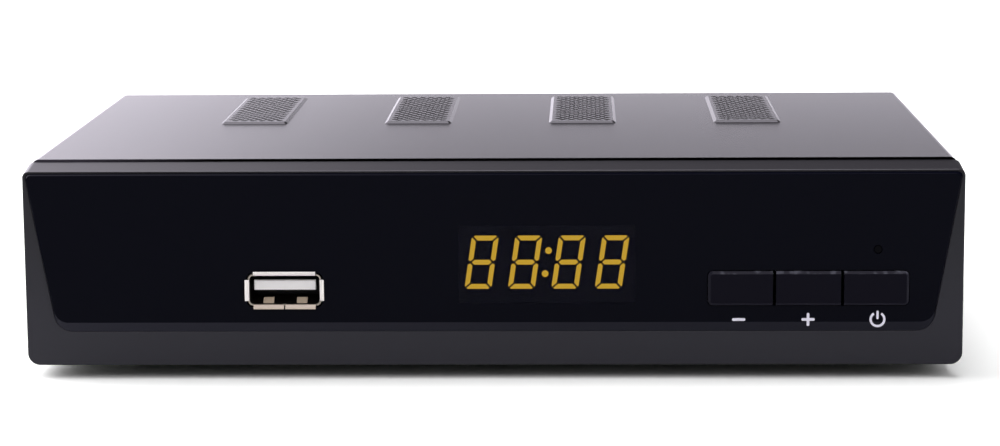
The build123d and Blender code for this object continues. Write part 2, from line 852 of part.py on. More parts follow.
def make_usb_tongue():
    """White tongue on its base, which closes the rear of the shell."""
    inner_width = usb_width - 2 * usb_wall - 2 * pipe_clearance
    inner_height = usb_height - 2 * usb_wall - 2 * pipe_clearance
    with BuildPart() as tongue:
        with Locations((usb_x, front_board_y, usb_z)):
            Box(inner_width, usb_base_length, inner_height, align=MID_BACK)
        edges = tongue.edges().filter_by(Axis.Y)
        fillet(edges, radius=usb_corner_radius - usb_wall)
        with Locations((usb_x, lens_y + usb_tongue_front, usb_z + usb_tongue_rise)):
            Box(
                usb_tongue_width,
                front_board_y - usb_base_length - lens_y - usb_tongue_front,
                usb_tongue_height,
                align=MID_FRONT,
            )
        front = tongue.faces().sort_by(Axis.Y)[0].edges()
        chamfer(front, length=usb_wall / 2)
    save(tongue, "usb_tongue")


def make_usb_contacts():
    """Four gold contacts under the tongue."""
    start = lens_y + usb_tongue_front + usb_contact_front
    length = front_board_y - usb_base_length - start
    with BuildPart() as contacts:
        for offset in usb_contact_pitches:
            with Locations((usb_x + offset, start, usb_z + usb_tongue_rise - usb_tongue_height / 2)):
                Box(
                    usb_contact_width,
                    length,
                    usb_contact_thickness,
                    align=(Align.CENTER, Align.MIN, Align.MAX),
                )
    save(contacts, "usb_contacts")


# ---------------------------------------------------------------- boards
def make_front_board():
    width = front_board_right - front_board_left
    height = front_board_high - front_board_low
    with BuildPart() as board:
        with Locations(
            (
                (front_board_left + front_board_right) / 2,
                front_board_y,
                panel_low + (front_board_low + front_board_high) / 2,
            )
        ):
            Box(width, board_thickness, height, align=MID_FRONT)
        for x, above in front_boss_places:
            back_rod(
                x, panel_low + above, front_board_y, front_board_back, pilot_radius + fit_gap,
                Mode.SUBTRACT,
            )
    save(board, "front_board")


def make_front_board_screws():
    """Self-tapping screws through the front board into the bezel's bosses."""
    with BuildPart() as screws:
        for x, above in front_boss_places:
            z = panel_low + above
            back_rod(x, z, plate_back + 2 * rim_wall, front_board_back, pilot_radius - pipe_clearance)
            back_rod(x, z, front_board_back, front_board_back + front_screw_head, front_screw_head_radius)
    save(screws, "front_board_screws")


def make_board_link():
    """Right-angle pin header: block on the main board, pins forward into the front board."""
    with BuildPart() as link:
        with Locations((link_x, main_front, board_top)):
            Box(link_width, link_height, link_height, align=LOW_FRONT)
        for index in range(link_pins):
            x = link_x + (index - (link_pins - 1) / 2) * pin_pitch
            with Locations((x, front_board_back, board_top + link_pin_rise)):
                Box(pin_width, main_front - front_board_back, pin_width, align=MID_FRONT)
    save(link, "board_link")


def standoff_places():
    """Where the main board stands, as x and y."""
    half = main_board_width / 2 - board_hole_inset
    front = main_front + board_hole_inset
    back = main_back - board_hole_inset
    return [(-half, front), (half, front), (-half, back), (half, back)]


def make_main_board():
    with BuildPart() as board:
        with Locations((0, main_front, board_low)):
            Box(main_board_width, main_back - main_front, board_thickness, align=LOW_FRONT)
        with Locations(*[(x, y, board_low) for x, y in standoff_places()]):
            Cylinder(board_hole_radius, board_thickness, align=ON_BASE, mode=Mode.SUBTRACT)
    save(board, "main_board")


def make_board_screws():
    with BuildPart() as screws:
        for x, y in standoff_places():
            with Locations((x, y, board_top)):
                Cylinder(board_screw_head_radius, board_screw_head, align=ON_BASE)
            with Locations((x, y, floor_top)):
                Cylinder(standoff_hole_radius - pipe_clearance, board_top - floor_top, align=ON_BASE)
    save(screws, "board_screws")


def make_insulating_sheet():
    """Plastic film that keeps the solder side off the chassis floor."""
    with BuildPart() as film:
        with Locations((0, main_front + insulator_inset, floor_top)):
            Box(
                main_board_width - 2 * insulator_inset,
                main_back - main_front - 2 * insulator_inset,
                insulator_sheet,
                align=LOW_FRONT,
            )
        with Locations(*[(x, y, floor_top) for x, y in standoff_places()]):
            Cylinder(
                standoff_radius + insulator_hole_gap, insulator_sheet, align=ON_BASE, mode=Mode.SUBTRACT
            )
    save(film, "insulating_sheet")


# ---------------------------------------------------------------- parts on the main board
def make_main_chip():
    with BuildPart() as chip:
        slab([on_board(chip_place)], (chip_size, chip_size, chip_height), board_top)
    save(chip, "main_chip")


def make_thermal_pad():
    with BuildPart() as pad:
        slab([on_board(chip_place)], (pad_size, pad_size, pad_thickness), board_top + chip_height)
    save(pad, "thermal_pad")


def make_heat_sink():
    """Finned aluminium block on the main chip."""
    low = board_top + chip_height + pad_thickness
    fin_pitch = (sink_size - sink_fin_thickness) / (sink_fins - 1)
    x, y = on_board(chip_place)
    fins = [(x + (index - (sink_fins - 1) / 2) * fin_pitch, y) for index in range(sink_fins)]
    with BuildPart() as sink:
        slab([(x, y)], (sink_size, sink_size, sink_base), low)
        slab(fins, (sink_fin_thickness, sink_size, sink_height), low)
    save(sink, "heat_sink")


def make_slabs(node, places, size):
    """Plain moulded chips of one kind, with their top edges broken."""
    with BuildPart() as chips:
        slab(places, size, board_top)
        chamfer(chips.faces().group_by(Axis.Z)[-1].edges(), length=chip_edge)
    save(chips, node)


def make_inductors():
    places = [on_board(place) for place in inductor_places]
    with BuildPart() as coils:
        slab(places, (inductor_size, inductor_size, inductor_height), board_top)
        fillet(coils.edges().filter_by(Axis.Z), radius=inductor_corner)
    save(coils, "inductors")


def make_capacitors():
    """Electrolytic cans with the rolled groove near the foot."""
    places = [on_board(place) for place in capacitor_places]
    with BuildPart() as cans:
        with Locations(*[(x, y, board_top) for x, y in places]):
            Cylinder(capacitor_radius, capacitor_height, align=ON_BASE)
        fillet(cans.faces().group_by(Axis.Z)[-1].edges(), radius=capacitor_groove)
        with Locations(*[(x, y, board_top + capacitor_groove_height) for x, y in places]):
            Torus(capacitor_radius + capacitor_groove / 2, capacitor_groove, mode=Mode.SUBTRACT)
    save(cans, "capacitors")


def make_crystal():
    with BuildPart() as crystal:
        slab([on_board(crystal_place)], crystal_size, board_top)
        fillet(crystal.edges().filter_by(Axis.Z), radius=crystal_corner)
    save(crystal, "crystal")


# ---------------------------------------------------------------- LNB input and tuner
lnb_z = board_top + lnb_height
lnb_barrel_radius = lnb_thread_radius - lnb_relief
tuner_back = rear_in - tuner_gap
tuner_middle = tuner_back - tuner_length / 2


def make_tuner_can():
    """Screening can of the tuner, open at the top, with a hole for the socket."""
    with BuildPart() as can:
        with Locations((lnb_x, tuner_middle, board_top)):
            Box(tuner_width, tuner_length, tuner_height, align=ON_BASE)
        with Locations((lnb_x, tuner_middle, board_top + tuner_wall)):
            Box(
                tuner_width - 2 * tuner_wall,
                tuner_length - 2 * tuner_wall,
                tuner_height,
                align=ON_BASE,
                mode=Mode.SUBTRACT,
            )
        back_rod(
            lnb_x, lnb_z, tuner_back - 2 * tuner_wall, tuner_back, lnb_thread_radius + lnb_hole_clearance,
            Mode.SUBTRACT,
        )
    save(can, "tuner_can")


def make_tuner_lid():
    """Press-on lid over the tuner can."""
    outer = 2 * (tuner_wall + pipe_clearance)
    top = board_top + tuner_height + tuner_wall
    with BuildPart() as lid:
        with Locations((lnb_x, tuner_middle, top)):
            Box(
                tuner_width + outer,
                tuner_length + outer,
                tuner_lid_skirt + tuner_wall,
                align=(Align.CENTER, Align.CENTER, Align.MAX),
            )
        with Locations((lnb_x, tuner_middle, top - tuner_wall)):
            Box(
                tuner_width + 2 * pipe_clearance,
                tuner_length + 2 * pipe_clearance,
                tuner_lid_skirt,
                align=(Align.CENTER, Align.CENTER, Align.MAX),
                mode=Mode.SUBTRACT,
            )
        back_rod(
            lnb_x, lnb_z, tuner_back, tuner_back + 2 * tuner_wall, lnb_flange_radius + lnb_hole_clearance,
            Mode.SUBTRACT,
        )
    save(lid, "tuner_lid")


def make_lnb_shell():
    """Threaded socket: barrel, flange between tuner and rear panel, hollow inside."""
    tip = rear_out + lnb_reach
    thread_start = rear_out + lnb_washer + lnb_nut
    with BuildPart() as shell:
        back_rod(lnb_x, lnb_z, thread_start, tip, lnb_thread_radius)
        chamfer(shell.faces().sort_by(Axis.Y)[-1].edges(), length=lnb_tip_chamfer)
        back_rod(lnb_x, lnb_z, tuner_back - lnb_inner_length, thread_start, lnb_barrel_radius)
        back_rod(lnb_x, lnb_z, tuner_back, rear_in, lnb_flange_radius)
        back_rod(lnb_x, lnb_z, tuner_back - lnb_inner_length, tip, lnb_bore_radius, Mode.SUBTRACT)
    save(shell, "lnb_shell")


def make_lnb_insulator():
    start = tuner_back - lnb_inner_length
    tip = rear_out + lnb_reach - lnb_insulator_recess
    with BuildPart() as insulator:
        back_rod(lnb_x, lnb_z, start, tip, lnb_bore_radius - pipe_clearance)
        back_rod(lnb_x, lnb_z, start, tip, lnb_entry_radius, Mode.SUBTRACT)
        back_rod(
            lnb_x, lnb_z, start, tip - lnb_insulator_recess, lnb_core_radius + pipe_clearance,
            Mode.SUBTRACT,
        )
    save(insulator, "lnb_insulator")


def make_lnb_contact():
    """Spring contact for the cable's core, inside the insulator."""
    start = tuner_back - 2 * lnb_inner_length
    tip = rear_out + lnb_reach - 2 * lnb_insulator_recess - pipe_clearance
    with BuildPart() as contact:
        back_rod(lnb_x, lnb_z, start, tip, lnb_core_radius)
        back_rod(lnb_x, lnb_z, rear_out, tip, lnb_entry_radius - pipe_clearance, Mode.SUBTRACT)
    save(contact, "lnb_contact")


def make_lnb_washer():
    with BuildPart() as washer:
        back_rod(lnb_x, lnb_z, rear_out, rear_out + lnb_washer, lnb_washer_radius)
        back_rod(
            lnb_x, lnb_z, rear_out, rear_out + lnb_washer, lnb_barrel_radius + lnb_barrel_gap,
            Mode.SUBTRACT,
        )
    save(washer, "lnb_washer")


def make_lnb_nut():
    """Hexagon nut with broken corners."""
    start = rear_out + lnb_washer
    corner_radius = lnb_nut_across / math.sqrt(3)
    with BuildPart() as nut:
        back_rod(lnb_x, lnb_z, start, start + lnb_nut, corner_radius)
        chamfer(nut.faces().sort_by(Axis.Y)[-1].edges(), length=lnb_nut_corner)
        with BuildSketch(front_plane(start)):
            with Locations((lnb_x, lnb_z)):
                RegularPolygon(corner_radius, 6)
        extrude(amount=-lnb_nut, mode=Mode.INTERSECT)
        back_rod(
            lnb_x, lnb_z, start, start + lnb_nut, lnb_barrel_radius + lnb_barrel_gap, Mode.SUBTRACT
        )
    save(nut, "lnb_nut")


# ---------------------------------------------------------------- HDMI socket
def hdmi_outline(y, inset):
    """Socket outline: square upper corners, slanted lower ones."""
    half = hdmi_width / 2 - inset
    low = board_top + inset
    high = board_top + hdmi_height - inset
    cut = hdmi_corner
    with BuildSketch(front_plane(y)) as outline:
        with BuildLine():
            Polyline(
                (hdmi_x - half + cut, low),
                (hdmi_x + half - cut, low),
                (hdmi_x + half, low + cut),
                (hdmi_x + half, high),
                (hdmi_x - half, high),
                (hdmi_x - half, low + cut),
                close=True,
            )
        make_face()
    return outline.sketch


hdmi_back = rear_out + hdmi_reach
hdmi_front = hdmi_back - hdmi_length


def make_hdmi_shell():
    with BuildPart() as shell:
        extrude(hdmi_outline(hdmi_front, 0), amount=-hdmi_length)
        extrude(hdmi_outline(hdmi_front, hdmi_wall), amount=-hdmi_length, mode=Mode.SUBTRACT)
    save(shell, "hdmi_shell")


def make_hdmi_tongue():
    middle = board_top + hdmi_height / 2
    with BuildPart() as tongue:
        extrude(hdmi_outline(hdmi_front, hdmi_wall + pipe_clearance), amount=-hdmi_base)
        with Locations((hdmi_x, hdmi_front + hdmi_base, middle)):
            Box(
                hdmi_tongue_width,
                hdmi_length - hdmi_base - hdmi_reach,
                hdmi_tongue_height,
                align=MID_FRONT,
            )
        chamfer(tongue.faces().sort_by(Axis.Y)[-1].edges(), length=hdmi_tongue_edge)
    save(tongue, "hdmi_tongue")


def make_hdmi_contacts():
    """Gold strips above and below the tongue."""
    middle = board_top + hdmi_height / 2
    length = hdmi_length - hdmi_base - hdmi_reach - hdmi_contact_end_gap
    offset = (hdmi_tongue_height + hdmi_contact_thickness) / 2
    with BuildPart() as contacts:
        for side, count in ((1, hdmi_upper_contacts), (-1, hdmi_lower_contacts)):
            for index in range(count):
                x = hdmi_x + (index - (count - 1) / 2) * hdmi_contact_pitch
                with Locations((x, hdmi_front + hdmi_base, middle + side * offset)):
                    Box(hdmi_contact_width, length, hdmi_contact_thickness, align=MID_FRONT)
    save(contacts, "hdmi_contacts")


# ---------------------------------------------------------------- network socket
lan_back = rear_out + lan_reach
lan_front = lan_back - lan_length
magnetics_place = (lan_x, lan_front - magnetics_gap - magnetics_size[1] / 2)


def make_lan_shell():
    """Folded metal cover of the network socket, open at the rear and below."""
    with BuildPart() as shell:
        with Locations((lan_x, lan_front, board_top)):
            Box(lan_width, lan_length, lan_height, align=LOW_FRONT)
        with Locations((lan_x, lan_front + lan_wall, board_top)):
            Box(
                lan_width - 2 * lan_wall,
                lan_length,
                lan_height - lan_wall,
                align=LOW_FRONT,
                mode=Mode.SUBTRACT,
            )
    save(shell, "lan_shell")


def make_lan_insert():
    """Moulded socket body with the stepped mouth for the plug and its latch."""
    mouth_low = board_top + lan_mouth_low
    with BuildPart() as insert:
        with Locations((lan_x, lan_front + lan_wall + pipe_clearance, board_top)):
            Box(
                lan_width - 2 * lan_wall - 2 * pipe_clearance,
                lan_length - 2 * lan_wall - pipe_clearance,
                lan_height - lan_wall - pipe_clearance,
                align=LOW_FRONT,
            )
        with Locations((lan_x, lan_back, mouth_low)):
            Box(lan_mouth_width, lan_mouth_depth, lan_mouth_height, align=LOW_BACK, mode=Mode.SUBTRACT)
        with Locations((lan_x, lan_back, mouth_low + lan_mouth_height)):
            Box(lan_latch_width, lan_mouth_depth, lan_latch_height, align=LOW_BACK, mode=Mode.SUBTRACT)
    save(insert, "lan_insert")


def make_lan_contacts():
    """Eight spring wires that rise from the mouth's floor."""
    low = board_top + lan_mouth_low
    front = lan_back - lan_mouth_depth
    with BuildPart() as contacts:
        for index in range(lan_contact_count):
            x = lan_x + (index - (lan_contact_count - 1) / 2) * lan_contact_pitch
            with BuildSketch(across_plane(x - lan_contact_radius)):
                with BuildLine():
                    Polyline(
                        (front + lan_contact_run, low),
                        (front, low + lan_contact_rise),
                        (front, low + lan_contact_rise - 2 * lan_contact_radius),
                        (front + lan_contact_foot, low),
                        close=True,
                    )
                make_face()
            extrude(amount=2 * lan_contact_radius)
    save(contacts, "lan_contacts")


# ---------------------------------------------------------------- audio and video sockets
av_z = board_top + av_height
av_tip = rear_out + av_reach


def av_place(index):
    return av_x + (index - 1) * av_pitch


def make_av_block():
    """Moulded carrier of the three sockets, standing on the main board."""
    with BuildPart() as block:
        with Locations((av_x, rear_in - fit_gap, board_top)):
            Box(av_width, av_block_length, av_block_height, align=LOW_BACK)
        for index in range(3):
            back_rod(
                av_place(index), av_z, rear_in - fit_gap - av_flange, rear_in - fit_gap,
                av_flange_radius + pipe_clearance, Mode.SUBTRACT,
            )
    save(block, "av_block")


def make_av_insert(index, node):
    """Coloured insulator: ring round the foot of the shell and core with the centre bore."""
    x = av_place(index)
    start = rear_in - fit_gap - av_flange
    with BuildPart() as insert:
        back_rod(x, av_z, start, rear_out + av_flange, av_flange_radius)
        fillet(insert.faces().sort_by(Axis.Y)[-1].edges(), radius=av_flange_edge)
        groove_radius = av_shell_radius - av_shell_foot + av_groove_gap
        back_rod(x, av_z, rear_in, av_tip, groove_radius, Mode.SUBTRACT)
        core_radius = av_shell_radius - av_shell_wall - av_groove_gap
        back_rod(x, av_z, start, av_tip - av_core_recess, core_radius)
        back_rod(x, av_z, rear_in, av_tip, av_bore_radius + pipe_clearance, Mode.SUBTRACT)
    save(insert, node)


def make_av_shells():
    ring_face = rear_out + av_flange + av_groove_gap
    with BuildPart() as shells:
        for index in range(3):
            x = av_place(index)
            back_rod(x, av_z, rear_in, ring_face, av_shell_radius - av_shell_foot)
            back_rod(x, av_z, ring_face, av_tip, av_shell_radius)
            back_rod(x, av_z, rear_in, av_tip, av_shell_radius - av_shell_wall, Mode.SUBTRACT)
        tips = shells.faces().group_by(Axis.Y)[-1].edges()
        fillet(tips, radius=av_shell_edge)
    save(shells, "av_shells")


def make_av_contacts():
    """Centre sleeves that take the plug's pin."""
    with BuildPart() as contacts:
        for index in range(3):
            x = av_place(index)
            back_rod(x, av_z, rear_in, av_tip - 2 * av_core_recess, av_bore_radius)
            back_rod(
                x, av_z, rear_in, av_tip - 2 * av_core_recess, av_bore_radius - av_contact_wall,
                Mode.SUBTRACT,
            )
    save(contacts, "av_contacts")


# ---------------------------------------------------------------- DC inlet
dc_z = board_top + dc_axis
dc_back = rear_out + dc_reach


def make_dc_jack():
    with BuildPart() as jack:
        with Locations((dc_x, dc_back, board_top)):
            Box(dc_width, dc_length, dc_height, align=LOW_BACK)
        fillet(jack.edges().filter_by(Axis.Y).group_by(Axis.Z)[-1], radius=dc_corner)
        back_rod(dc_x, dc_z, dc_back - dc_bore_depth, dc_back, dc_bore_radius, Mode.SUBTRACT)
        mouth = jack.faces().sort_by(Axis.Y)[-1].edges().filter_by(GeomType.CIRCLE)
        chamfer(mouth.sort_by(Axis.Z)[0], length=dc_mouth_chamfer)
    save(jack, "dc_jack")


def make_dc_pin():
    with BuildPart() as pin:
        floor = dc_back - dc_bore_depth
        back_rod(dc_x, dc_z, floor, floor + dc_pin_length, dc_pin_radius)
        fillet(pin.faces().sort_by(Axis.Y)[-1].edges(), radius=dc_pin_dome)
    save(pin, "dc_pin")


# ---------------------------------------------------------------- case
vent_y = case_back - vent_rear_margin - vent_length / 2
side_screw_y = case_back - side_screw_rear_inset
side_screw_z = chassis_low + side_screw_height
rear_screw_x = cover_width / 2 - rear_screw_side_inset
rear_screw_z = cover_top - rear_lip / 2 - sheet / 2


def vent_places():
    """Middles of the vent patches along X."""
    return [(index - (vent_count - 1) / 2) * vent_pitch for index in range(vent_count)]


def side_rod(y, z, x_from, x_to, radius, mode=Mode.ADD):
    """A round bar along X."""
    with BuildSketch(across_plane(x_from)) as section:
        with Locations((y, z)):
            Circle(radius)
    extrude(section.sketch, amount=x_to - x_from, mode=mode)


def vent_pad(x, low):
    """One raised vent patch: its foot and its flat top, to loft between."""
    with BuildSketch(Plane.XY.offset(low)) as foot:
        with Locations((x, vent_y)):
            RectangleRounded(vent_width, vent_length, vent_slope)
    with BuildSketch(Plane.XY.offset(low + vent_rise)) as flat:
        with Locations((x, vent_y)):
            RectangleRounded(vent_width - 2 * vent_slope, vent_length - 2 * vent_slope, vent_slope / 2)
    return [foot.sketch, flat.sketch]


def make_top_cover():
    """Folded steel cover: top with raised vent patches, two sides with slots, rear lip."""
    length = case_back - cover_front
    with BuildPart() as cover:
        with Locations((0, cover_front, chassis_low)):
            Box(cover_width, length, cover_top - chassis_low, align=LOW_FRONT)
        fillet(cover.edges().filter_by(Axis.Y).group_by(Axis.Z)[-1], radius=cover_bend_radius)
        fillet(
            cover.faces().sort_by(Axis.Z)[-1].edges().filter_by(Axis.X).sort_by(Axis.Y)[-1],
            radius=cover_bend_radius,
        )
        with BuildSketch(front_plane(cover_front)):
            with Locations((0, (chassis_low + cover_top - sheet) / 2)):
                Rectangle(cover_width - 2 * sheet, cover_top - sheet - chassis_low)
        extrude(amount=sheet - length, mode=Mode.SUBTRACT)
        with Locations((0, case_back, chassis_low)):
            Box(
                cover_width,
                sheet,
                cover_top - rear_lip - chassis_low,
                align=LOW_BACK,
                mode=Mode.SUBTRACT,
            )
        for x in vent_places():
            loft(vent_pad(x, cover_top), ruled=True)
            loft(vent_pad(x, cover_top - sheet), ruled=True, mode=Mode.SUBTRACT)
        border = 2 * (vent_slope + vent_margin + vent_hole_radius)
        columns = int((vent_width - border) / vent_hole_pitch + 0.5)
        rows = int((vent_length - border) / (vent_hole_pitch * math.sqrt(3) / 2) + 1)
        with BuildSketch(Plane.XY.offset(cover_top - 2 * sheet)):
            for x in vent_places():
                with Locations(Location((x, vent_y, 0), (0, 0, 90))):
                    with HexLocations(vent_hole_pitch / 2, rows, columns, major_radius=False):
                        Circle(vent_hole_radius)
        extrude(amount=3 * sheet + vent_rise, mode=Mode.SUBTRACT)
        with BuildSketch(across_plane(-cover_width)):
            with Locations((face_y + side_slot_front, side_slot_height_above_desk)):
                with GridLocations(side_slot_pitch, 1, side_slot_count, 1):
                    SlotOverall(side_slot_height, side_slot_width, rotation=90)
        extrude(amount=2 * cover_width, mode=Mode.SUBTRACT)
        for side in (-1, 1):
            side_rod(
                side_screw_y, side_screw_z, side * (cover_width / 2 - 2 * sheet),
                side * (cover_width / 2 + sheet), screw_hole_radius, Mode.SUBTRACT,
            )
            back_rod(
                side * rear_screw_x, rear_screw_z, case_back - 1.5 * sheet, case_back + sheet,
                screw_hole_radius, Mode.SUBTRACT,
            )
    save(cover, "top_cover")


def rear_openings():
    """Cuts the socket openings through the rear panel."""
    with BuildSketch(front_plane(rear_in - sheet)) as openings:
        with Locations((lnb_x, lnb_z)):
            Circle(lnb_thread_radius + lnb_hole_clearance)
        with Locations((hdmi_x, board_top + hdmi_height / 2)):
            Rectangle(hdmi_width + 2 * hdmi_opening_gap, hdmi_height + 2 * hdmi_opening_gap)
        with Locations((lan_x, board_top + lan_height / 2)):
            Rectangle(lan_width + 2 * lan_opening_gap, lan_height + 2 * lan_opening_gap)
        with Locations(*[(av_place(index), av_z) for index in range(3)]):
            Circle(av_flange_radius + av_hole_clearance)
        with Locations((dc_x, board_top + dc_height / 2)):
            Rectangle(dc_width + 2 * dc_opening_gap, dc_height + 2 * dc_opening_gap)
        for side in (-1, 1):
            with Locations((side * rear_screw_x, rear_screw_z)):
                Circle(screw_shank_radius + pipe_clearance)
    extrude(openings.sketch, amount=-3 * sheet, mode=Mode.SUBTRACT)


def make_base_chassis():
    """Folded steel floor, low sides and rear panel, with standoffs and floor vents."""
    length = rear_out - cover_front
    with BuildPart() as chassis:
        with Locations((0, cover_front, chassis_low)):
            Box(2 * inner_half, length, sheet, align=LOW_FRONT)
        with Locations((0, rear_out, chassis_low)):
            Box(2 * inner_half, sheet, inner_top - chassis_low, align=LOW_BACK)
        flange_front = face_y + bevel_depth + rim_depth + fit_gap
        for side in (-1, 1):
            with Locations((side * (inner_half - sheet / 2), flange_front, chassis_low)):
                Box(sheet, rear_out - flange_front, side_flange, align=LOW_FRONT)
        fillet(
            chassis.faces().sort_by(Axis.Z)[0].edges().filter_by(Axis.X).sort_by(Axis.Y)[-1],
            radius=sheet / 2,
        )
        with Locations(*[(x, y, floor_top) for x, y in standoff_places()]):
            Cylinder(standoff_radius, standoff_height, align=ON_BASE)
        with Locations(*[(x, y, chassis_low) for x, y in standoff_places()]):
            Cylinder(
                standoff_hole_radius, sheet + standoff_height, align=ON_BASE, mode=Mode.SUBTRACT
            )
        rear_openings()
        floor_middle = (main_front + main_back) / 2
        pitch = (floor_slot_pitch_x, floor_slot_pitch_y)
        with BuildSketch(Plane.XY.offset(chassis_low)):
            with Locations((0, floor_middle)):
                with GridLocations(*pitch, floor_slot_columns, floor_slot_rows):
                    SlotOverall(floor_slot_length, floor_slot_width, rotation=90)
            for x in (-hook_spacing, 0, hook_spacing):
                with Locations((x, face_y + bevel_depth + rim_depth / 2)):
                    Rectangle(hook_width + 2 * hook_clearance, hook_depth + 2 * hook_clearance)
        extrude(amount=sheet, mode=Mode.SUBTRACT)
        for side in (-1, 1):
            side_rod(
                side_screw_y, side_screw_z, side * (inner_half - 2 * sheet), side * (inner_half + sheet),
                screw_shank_radius + pipe_clearance, Mode.SUBTRACT,
            )
    save(chassis, "base_chassis")


def make_cover_screws():
    """Two screws through the rear lip and one through each side, cross slots in their heads."""
    slot_long = screw_cross_length
    slot_wide = screw_cross_width
    with BuildPart() as screws:
        for side in (-1, 1):
            x = side * rear_screw_x
            z = rear_screw_z
            back_rod(x, z, case_back - screw_length, case_back, screw_shank_radius)
            back_rod(x, z, case_back, case_back + screw_head, screw_head_radius)
            with Locations((x, case_back + screw_head, z)):
                Box(slot_long, 2 * screw_cross_depth, slot_wide, mode=Mode.SUBTRACT)
                Box(slot_wide, 2 * screw_cross_depth, slot_long, mode=Mode.SUBTRACT)
            wall = side * cover_width / 2
            head = wall + side * screw_head
            side_rod(side_screw_y, side_screw_z, wall - side * screw_length, wall, screw_shank_radius)
            side_rod(side_screw_y, side_screw_z, wall, head, screw_head_radius)
            with Locations((head, side_screw_y, side_screw_z)):
                Box(2 * screw_cross_depth, slot_long, slot_wide, mode=Mode.SUBTRACT)
                Box(2 * screw_cross_depth, slot_wide, slot_long, mode=Mode.SUBTRACT)
    save(screws, "cover_screws")


def make_feet():
    """Four round rubber feet under the chassis."""
    x = panel_width / 2 - foot_side_inset
    front = face_y + foot_front_inset
    back = case_back - foot_rear_inset
    with BuildPart() as feet:
        with Locations((-x, front, 0), (x, front, 0), (-x, back, 0), (x, back, 0)):
            Cylinder(foot_radius, chassis_low, align=ON_BASE)
        fillet(feet.faces().group_by(Axis.Z)[0].edges(), radius=foot_edge_radius)
    save(feet, "feet")


make_front_bezel()
make_front_lens()
make_lens_mask()
make_front_marks()
for index, name in enumerate(("minus", "plus", "power")):
    make_button(index, f"button_{name}")
    make_plunger(index, f"plunger_{name}")
make_switch_bodies()
make_display_segments()
make_display_body()
make_light_pipe()
make_standby_lamp()
make_ir_receiver()
make_usb_shell()
make_usb_tongue()
make_usb_contacts()
make_front_board()
make_front_board_screws()
make_board_link()
make_main_board()
make_board_screws()
make_insulating_sheet()
make_main_chip()
make_thermal_pad()
make_heat_sink()
make_slabs("memory_chips", [on_board(place) for place in memory_places], memory_size)
make_slabs("flash_chip", [on_board(flash_place)], flash_size)
make_slabs("regulators", [on_board(place) for place in regulator_places], regulator_size)
make_slabs("lan_magnetics", [magnetics_place], magnetics_size)
make_inductors()
make_capacitors()
make_crystal()
make_tuner_can()
make_tuner_lid()
make_lnb_shell()
make_lnb_insulator()
make_lnb_contact()
make_lnb_washer()
make_lnb_nut()
make_hdmi_shell()
make_hdmi_tongue()
make_hdmi_contacts()
make_lan_shell()
make_lan_insert()
make_lan_contacts()
make_av_block()
for index, name in enumerate(("red", "white", "yellow")):
    make_av_insert(index, f"av_insert_{name}")
make_av_shells()
make_av_contacts()
make_dc_jack()
make_dc_pin()
make_top_cover()
make_base_chassis()
make_cover_screws()
make_feet()
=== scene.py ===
import math

import bpy
from mathutils import Matrix, Vector


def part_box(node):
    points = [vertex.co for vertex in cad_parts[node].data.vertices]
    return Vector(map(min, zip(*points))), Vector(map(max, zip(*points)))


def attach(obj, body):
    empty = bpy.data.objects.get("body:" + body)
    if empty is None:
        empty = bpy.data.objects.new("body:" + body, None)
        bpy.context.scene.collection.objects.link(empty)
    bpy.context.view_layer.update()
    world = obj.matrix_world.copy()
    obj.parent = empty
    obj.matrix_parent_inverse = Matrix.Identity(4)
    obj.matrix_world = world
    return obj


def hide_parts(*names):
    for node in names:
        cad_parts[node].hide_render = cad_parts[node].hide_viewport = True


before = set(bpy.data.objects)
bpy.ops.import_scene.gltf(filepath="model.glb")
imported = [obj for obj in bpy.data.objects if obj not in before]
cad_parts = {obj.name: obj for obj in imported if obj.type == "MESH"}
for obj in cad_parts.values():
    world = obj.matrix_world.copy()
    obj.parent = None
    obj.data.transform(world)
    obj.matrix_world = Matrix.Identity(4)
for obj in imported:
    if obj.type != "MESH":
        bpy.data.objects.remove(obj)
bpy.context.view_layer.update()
MM = 0.001


# ---------------------------------------------------------------- shader nodes
def linear(red, green, blue):
    """A display colour, 0 to 255, as Blender's linear RGBA."""
    def channel(value):
        value /= 255
        return value / 12.92 if value <= 0.04045 else ((value + 0.055) / 1.055) ** 2.4

    return (channel(red), channel(green), channel(blue), 1.0)


def finish(name, colour, roughness, metallic=0.0, specular=0.5, alpha=1.0):
    """A plain Principled material; its nodes can be added to afterwards."""
    made = bpy.data.materials.new(name)
    made.use_nodes = True
    shader = made.node_tree.nodes["Principled BSDF"]
    shader.inputs["Base Color"].default_value = linear(*colour)
    shader.inputs["Roughness"].default_value = roughness
    shader.inputs["Metallic"].default_value = metallic
    shader.inputs["Specular IOR Level"].default_value = specular
    shader.inputs["Alpha"].default_value = alpha
    return made


def noise(tree, per_metre, detail):
    """Soft noise with so many waves in a metre."""
    where = tree.nodes.new("ShaderNodeTexCoord")
    made = tree.nodes.new("ShaderNodeTexNoise")
    made.inputs["Scale"].default_value = per_metre
    made.inputs["Detail"].default_value = detail
    tree.links.new(where.outputs["Object"], made.inputs["Vector"])
    return made.outputs["Fac"]


def two_colours(tree, value, low, colour_low, high, colour_high):
    """A ramp from one display colour, where value is at low, to another, where it is at high."""
    ramp = tree.nodes.new("ShaderNodeValToRGB")
    ends = ((low, colour_low), (high, colour_high))
    for element, (position, colour) in zip(ramp.color_ramp.elements, ends):
        element.position = position
        element.color = linear(*colour)
    tree.links.new(value, ramp.inputs["Fac"])
    return ramp.outputs["Color"]


def part_of(tree, node_type, output, axis):
    """One coordinate, X, Y or Z, of a shader node's output."""
    source = tree.nodes.new(node_type)
    split = tree.nodes.new("ShaderNodeSeparateXYZ")
    tree.links.new(source.outputs[output], split.inputs[0])
    return split.outputs[axis]


def coordinate(tree, axis):
    """Where a point of the piece lies along an axis."""
    return part_of(tree, "ShaderNodeTexCoord", "Object", axis)


